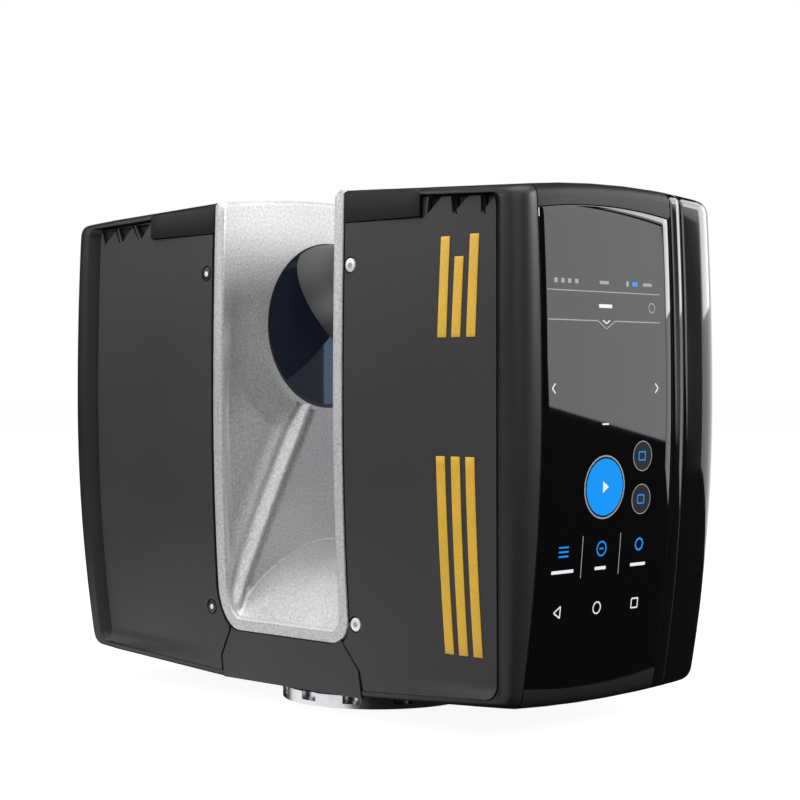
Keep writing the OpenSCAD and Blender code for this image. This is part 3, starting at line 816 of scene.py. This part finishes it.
def gills(cover, side, end):
    """Cuts the gills and lays a black sheet at the bottom of each, as painted shade in the hollows."""
    middle = sum(GILLS[side][1][:2]) / 2
    deep = face_y(GILL_Z) - recess(middle, GILL_Z, side) - GILL_DEPTH
    cut(cover, [face_prism(shape, end, deep, CLEAR) for shape in gill_shapes(side)])
    # black sheets at the gills' bottoms: painted shade for the dark hollows
    gill_shade_sheets = [face_prism(shape, end, deep - 0.2, deep + 0.7) for shape in gill_shapes(side)]
    for floor in gill_shade_sheets:
        floor.data.materials.append(FINISHES["seal_rubber"])
    place(join(gill_shade_sheets, cover_name(side, end) + "_gill_painted_shade"), "head", "seal_rubber")


def tower_cover(side, end):
    where = cover_name(side, end)
    rows = []
    for z in spread(5, 176, 115):
        rows.append([(side * u, end * (face_y(z) - recess(u, z, side)), z) for u in spread(20, 112, 24)])
    cover = grid(where + "_panel", rows, FINISHES["cover_plastic"], (side * 60, 0, 90), thickness=2.5,
                 edge=None)
    cut(cover, [face_prism(cover_outline(side, end), end, 30, CLEAR)], "INTERSECT")
    gills(cover, side, end)
    for z in SCREW_Z:
        cut(cover, [face_prism(circle(side * SCREW_X[side], z, COUNTERBORE_R), end, face_y(z) - 0.9, CLEAR)])
    shade(cover)
    return place(cover, "head", "cover_plastic", where + "_cover")


def screws(side, end):
    """Two socket screws of one cover, all alike but drawn as lit and shaded copies: black heads with bright
    sockets on the left tower (painted shade, with a painted highlight in the sockets), bright heads on the
    right (painted highlight, with painted shade in the grey sockets).
    """
    name = cover_name(side, end) + "_screws"
    # head and socket colours change by side as painted light, not because the screws differ
    head_painted_light = {-1: "black_anodised", 1: "bright_screw"}[side]
    socket_painted_light = {-1: "bright_screw", 1: "magnet"}[side]
    heads, sockets = [], []
    for z in SCREW_Z:
        x, face = side * SCREW_X[side], face_y(z)
        head = face_prism(circle(x, z, SCREW_R), end, face - 1.2, face - 0.1)
        socket = face_prism(circle(x, z, SOCKET_R, 6), end, face - 0.7, face - 0.04)
        head.data.materials.append(FINISHES[head_painted_light])
        socket.data.materials.append(FINISHES[socket_painted_light])
        soften(head, 0.25)
        heads.append(head)
        sockets.append(socket)
    place(join(heads, name), "head", head_painted_light, "cover_screws")
    place(join(sockets, name + "_sockets"), "head", head_painted_light)


def stripes():
    """Yellow bars on the right front cover: two groups of three, slightly slanted."""
    upper = [(79.6, 156.6), (85.3, 150.2), (91.4, 156.9)]
    lower = [(77.9, 79.0), (84.0, 84.7), (89.9, 90.6)]
    bars = [(u, top, u - 1.1, 125.3) for u, top in upper] + [(a, 88.4, b, 26.6) for a, b in lower]
    pieces = []
    for top_u, top_z, low_u, low_z in bars:
        rows = []
        for f in spread(0, 1, 24):
            z, middle = mix(top_z, low_z, f), mix(top_u, low_u, f)
            rows.append([(middle + w, -(face_y(z) - recess(middle + w, z, 1) + 0.25), z)
                         for w in (-1.8, -0.6, 0.6, 1.8)])
        pieces.append(grid("bar", rows, STRIPE_YELLOW, (80, 0, 90), thickness=0.3, edge=0.08))
    return place(join(pieces, "yellow_stripes"), "head", "cover_plastic")


# ---- cast channel ----
RIB = ((-48, 32.5), (-11, 103.3))     # line of the cast rib in the side view
RIB_HEIGHT, RIB_WIDTH = 2.3, 1.15
GROOVE_DEPTH, GROOVE_WIDTH, GROOVE_OFFSET = 0.9, 1.1, 3.0    # hollows along both sides of the rib
POCKET_DEPTH = 4.4                    # the wall's sunken stretch behind the rib
CREASE_R = 0.9                        # between walls and floor, away from the lips
HILL_LOW, HILL_RISE, HILL_HALF = 29.8, 23.7, 48.5
ROUND_TOP, ROUND_DROP = 1.0, 0.9      # rounding of the walls' top edges, and its fall behind the lips
WINDOW_SEAT, MIRROR_RECESS = 30.05, 31   # radii of the round openings in the two walls
FACE_Y = 50.5                            # depth at which the channel's sections are worked out
SEAT_LAND = 1.7                          # width of the turned edge round both openings
POCKET_X, BORE_X, BORE_R = 38.4, 41.5, 13.1   # floor of the mirror's pocket and the bore in it


def hill(y):
    """Height of the channel floor."""
    return HILL_LOW + HILL_RISE * max(0, 1 - (y / HILL_HALF) ** 2)


def rib_distance(y, z):
    (y0, z0), (y1, z1) = RIB
    length = math.dist(*RIB)
    return ((-abs(y) - y0) * (z1 - z0) - (z - z0) * (y1 - y0)) / length


def left_relief(y, z):
    """Depth of the left wall behind the lip's plane."""
    s = rib_distance(y, z)
    r = math.hypot(y, z - MIRROR_Z)
    front = smooth(0.5, 8, face_y(z) - abs(y))
    pocket = POCKET_DEPTH * smooth(1, 9, -s) * (1 - smooth(100, 150, z)) * smooth(32, 44, r)
    ridge = RIB_HEIGHT * math.exp(-((s / RIB_WIDTH) ** 2))
    groove = GROOVE_DEPTH * math.exp(-(((abs(s) - GROOVE_OFFSET) / GROOVE_WIDTH) ** 2))
    fade = smooth(28, 36, z) * (1 - smooth(108, 114, z)) * smooth(-0.5, 2.0, face_y(z) - abs(y))
    return pocket * front + (groove - ridge) * fade


def channel_section(y, inset, relief):
    """The channel's outline at a depth, from the left top round to the right top, set in by inset."""
    share = inset / LIP
    middle = smooth(0, 16, face_y(60) - abs(y))
    floor = mix(CHANNEL_Z, hill(y), share)
    x_left, x_right = -CHANNEL[-1] + inset, CHANNEL[1] - inset
    radii = {side: [mix(size - inset, CREASE_R, middle * share) for size in CORNER[side]] for side in (-1, 1)}
    top = roof_z(0, y) - ROUND_DROP * (1 - smooth(0, 1.8, FACE_Y - abs(y)))
    wall_top = top - ROUND_TOP * share
    points = [(-CHANNEL[-1], top), (mix(-CHANNEL[-1], x_left - ROUND_TOP, share), top), (x_left, wall_top)]
    for z in spread(wall_top, floor + radii[-1][1], 200)[1:]:
        points.append((x_left - relief * left_relief(y, z), z))
    for angle in spread(0, 90, 15)[1:]:
        a = math.radians(angle)
        across, up = radii[-1]
        z = floor + up - up * math.sin(a)
        x = x_left + across - across * math.cos(a)
        points.append((x - relief * left_relief(y, z) * math.cos(a), z))
    points += [(x, floor) for x in spread(x_left + radii[-1][0], x_right - radii[1][0], 26)[1:]]
    for angle in spread(90, 0, 12)[1:]:
        a = math.radians(angle)
        across, up = radii[1]
        points.append((x_right - across + across * math.cos(a), floor + up - up * math.sin(a)))
    points += [(x_right, z) for z in spread(floor + radii[1][1], wall_top, 60)[1:]]
    points += [(mix(CHANNEL[1], x_right + ROUND_TOP, share), top), (CHANNEL[1], top)]
    return points


def channel_row(end, depth, inset):
    """A row of the channel that keeps its depth behind the curved face."""
    return [(x, end * (face_y(z) - depth), z) for x, z in channel_section(FACE_Y - depth, inset, 0)]


def cast_channel():
    # depth behind the face and set-in from the covers, across the rounded lip
    lip = [(2.2, 0), (0.4, 0), (0.1, 0.12), (0, 0.4), (0, LIP - 1.0), (0.12, LIP - 0.5), (0.5, LIP - 0.12),
           (1.0, LIP)]
    front = [channel_row(-1, *line) for line in lip]
    inner = []
    for y in spread(-49.2, 49.2, 181):
        inner.append([(x, y * face_y(z) / FACE_Y, z) for x, z in channel_section(y, LIP, 1)])
    rear = [channel_row(1, *line) for line in lip[::-1]]
    holes = {-1: WINDOW_SEAT + 0.9, 1: MIRROR_RECESS + 0.9}

    def in_hole(centre):
        side = -1 if centre.x < 0 else 1
        return abs(centre.x) > 15 and math.hypot(centre.y, centre.z - MIRROR_Z) < holes[side]

    cast = grid("cast_channel", front + inner + rear, FINISHES["cast_aluminium"], None, thickness=0,
                drop=in_hole, edge=None)
    turn_inward(cast)
    thicken(cast, 2.0)
    shade(cast, 50)
    return place(cast, "head", "cast_aluminium", "left_wall", "right_wall", "channel_floor")


def turn_inward(obj):
    """Turns the channel's faces towards its open middle."""
    bm = bmesh.new()
    bm.from_mesh(obj.data)
    middle = Vector((2.5, 0, 110)) * MM
    inward = sum(f.normal.dot(middle - f.calc_center_median()) * f.calc_area() for f in bm.faces)
    if inward < 0:
        bmesh.ops.reverse_faces(bm, faces=bm.faces)
    bm.to_mesh(obj.data)
    bm.free()


def turned(name, profile, material):
    """A ring turned round the mirror's axis, from a profile of (radius, x)."""
    rows = []
    for i in range(129):
        a = 2 * math.pi * i / 128
        rows.append([(x, r * math.cos(a), MIRROR_Z + r * math.sin(a)) for r, x in profile])
    return grid(name, rows, material, None, thickness=0, edge=None)


def round_seats():
    """Edge of the window's seat, and the pocket in the right wall that the mirror's holder stands in."""
    seat, pocket, cast = WINDOW_SEAT, MIRROR_RECESS, FINISHES["cast_aluminium"]
    left, right = -CHANNEL[-1] + LIP + 0.02, CHANNEL[1] - LIP - 0.02
    edge = turned("window_seat", [(seat + SEAT_LAND, left), (seat, left), (seat, left - 4)], cast)
    place(edge, "head", "cast_aluminium")
    profile = [(pocket + SEAT_LAND, right), (pocket, right), (pocket, POCKET_X), (BORE_R, POCKET_X),
               (BORE_R, BORE_X)]
    cup = turned("mirror_pocket", profile, cast)
    place(cup, "head", "cast_aluminium")


# ---- screen graphics ----
def plates(name, shapes, material, lift=0.05):
    """Flat shapes on the display glass, given as outlines in the side view."""
    bm = bmesh.new()
    for shape in shapes:
        bm.faces.new([bm.verts.new(Vector((screen_x(z) + lift, y, z)) * MM) for y, z in shape])
    bmesh.ops.recalc_face_normals(bm, faces=bm.faces)
    for face in bm.faces:
        if face.normal.x < 0:
            face.normal_flip()
    mesh = bpy.data.meshes.new(name)
    bm.to_mesh(mesh)
    bm.free()
    obj = link_object(name, mesh, material)
    thicken(obj, MARK_T)
    return place(obj, "head", "display_glass")


def bar(y, z, length, height):
    left, right, low, high = y - length / 2, y + length / 2, z - height / 2, z + height / 2
    return [(left, low), (right, low), (right, high), (left, high)]


def stroke(points, width):
    """Quads of constant width along a line."""
    quads = []
    for (y0, z0), (y1, z1) in zip(points, points[1:]):
        length = math.dist((y0, z0), (y1, z1))
        ny, nz = -(z1 - z0) / length * width / 2, (y1 - y0) / length * width / 2
        quads.append([(y0 - ny, z0 - nz), (y1 - ny, z1 - nz), (y1 + ny, z1 + nz), (y0 + ny, z0 + nz)])
    return quads


def ring(y, z, radius, width, count=40):
    points = circle(y, z, radius, count)
    return stroke(points + points[:1], width)


def screen_graphics():
    white, grey, blue, dim = [], [], [], []
    # status row and title
    for y in (-37.4, -34.2, -31, -27.6):
        grey.append(bar(y, 142.3, 1.6, 1.4))
    grey.append(bar(-14.2, 142.3, 4.6, 1.0))
    blue.append(bar(1.2, 142.3, 2.6, 1.3))
    grey += [bar(-2.6, 142.3, 1.3, 1.6), bar(7.6, 142.3, 4.6, 1.0)]
    white.append(bar(-13.8, 135, 6.4, 1.1))
    grey += ring(9.6, 135, 1.5, 0.4, 16)
    grey += stroke([(-41.5, 139.4), (13.8, 139.4)], 0.3)
    grey += stroke([(-41.5, 130.4), (-17.7, 130.4), (-13.5, 127.9), (-9.3, 130.4), (13.8, 130.4)], 0.35)
    white += stroke([(-15.2, 130.6), (-13.5, 129.6), (-11.8, 130.6)], 0.4)
    for y, turn in ((-39.2, 1), (11.8, -1)):
        white += stroke([(y + turn * 0.8, 111), (y - turn * 0.6, 109.5), (y + turn * 0.8, 108)], 0.45)
    white.append(bar(-14.2, 98.4, 3.2, 0.5))
    # start button and the two round keys
    grey += ring(-13.9, 78.8, 9.7, 0.5)
    for z in (88.0, 74.3):
        dim.append(circle(4.8, z, 4.6))
        grey += ring(4.8, z, 4.7, 0.25)
        blue += stroke([(3.0, z + 1.3), (6.2, z + 1.3), (6.2, z - 1.3), (3.0, z - 1.3), (3.0, z + 1.3)], 0.4)
    # menu row
    for z in (58.2, 59.6, 61.0):
        blue.append(bar(-32.1, z, 4.6, 0.5))
    blue += ring(-13.8, 59.6, 2.2, 0.5, 24)
    blue.append(bar(-13.8, 59.6, 2.0, 0.5))
    blue += ring(5.1, 59.9, 1.9, 0.6, 8)
    for y, length in ((-32.1, 10.4), (-13.8, 5.4), (5.1, 7.6)):
        white.append(bar(y, 53.5, length, 1.0))
    for y in (-23.2, -4.6):
        grey += stroke([(y, 51), (y, 64)], 0.3)
    # navigation keys
    white += stroke([(-34.6, 41), (-31.6, 42.8), (-31.6, 39.2), (-34.6, 41)], 0.45)
    white += ring(-13.8, 41, 1.8, 0.45, 24)
    white += stroke([(3.6, 42.5), (6.8, 42.5), (6.8, 39.5), (3.6, 39.5), (3.6, 42.5)], 0.45)
    plates("screen_marks_grey", grey, SCREEN_GREY)
    plates("screen_marks_blue", blue, SCREEN_BLUE)
    plates("screen_marks_dim", dim, SCREEN_DIM, 0.03)
    plates("screen_marks_white", white, SCREEN_WHITE, 0.06)
    plates("start_disc", [circle(-13.9, 78.8, 8.9)], SCREEN_BLUE, 0.12)
    plates("start_arrow", [[(-14.8, 80.6), (-14.8, 77.0), (-12.0, 78.8)]], SCREEN_WHITE, 0.16)


# ---- build ----
make_stage()
dress_nodes()
left_tower_shell()
right_tower_shell()
for tower_side in SIDE_NAME:
    tower_cap(tower_side)
    for cover_end in END_NAME:
        tower_cover(tower_side, cover_end)
        screws(tower_side, cover_end)
stripes()
display_frame()
display_pane()
side_trims()
screen_graphics()
cast_channel()
round_seats()
